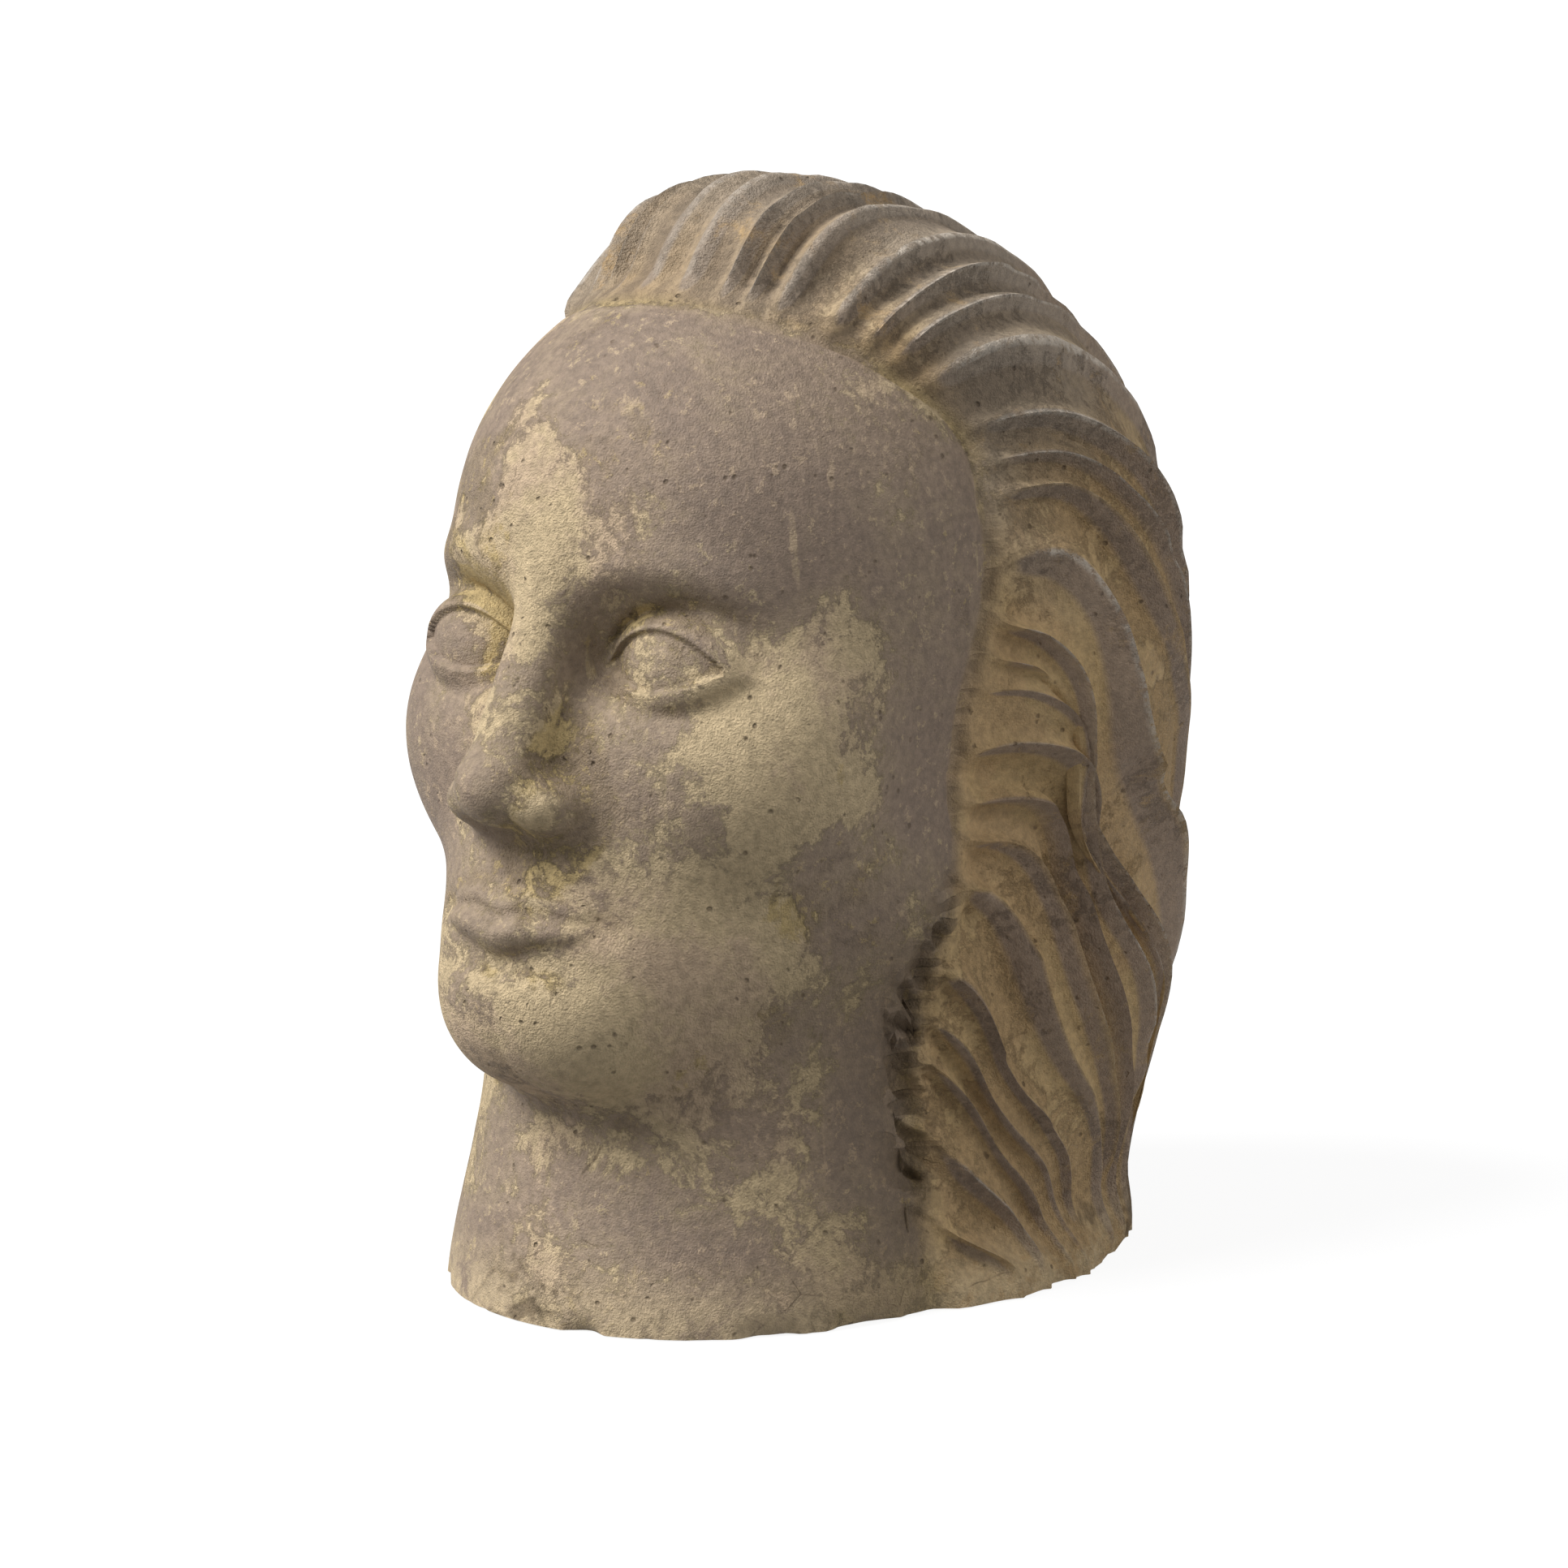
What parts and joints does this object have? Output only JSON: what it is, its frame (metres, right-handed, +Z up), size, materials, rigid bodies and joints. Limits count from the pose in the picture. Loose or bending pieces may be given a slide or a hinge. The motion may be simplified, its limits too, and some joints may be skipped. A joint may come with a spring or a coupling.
{
  "type": "female head sculpture",
  "caption": "Life-size fired-clay head of a woman looking slightly up, hair combed back in carved locks, cut flat under the neck to stand on its own.",
  "frame": {"origin": "middle of the flat underside, at the bottom centre of the bounding box", "axes": "+Z up, the face looks toward -Y and about 9 degrees up, +X is the head's own left side"},
  "size_m": [0.1868, 0.2498, 0.2936],
  "materials": {
    "fired_clay": "matte fired clay, buff with ochre deposits in the recesses and grey-brown burnished patches"
  },
  "bodies": {
    "root": {"female_head": "fired_clay"}
  },
  "joints": []
}
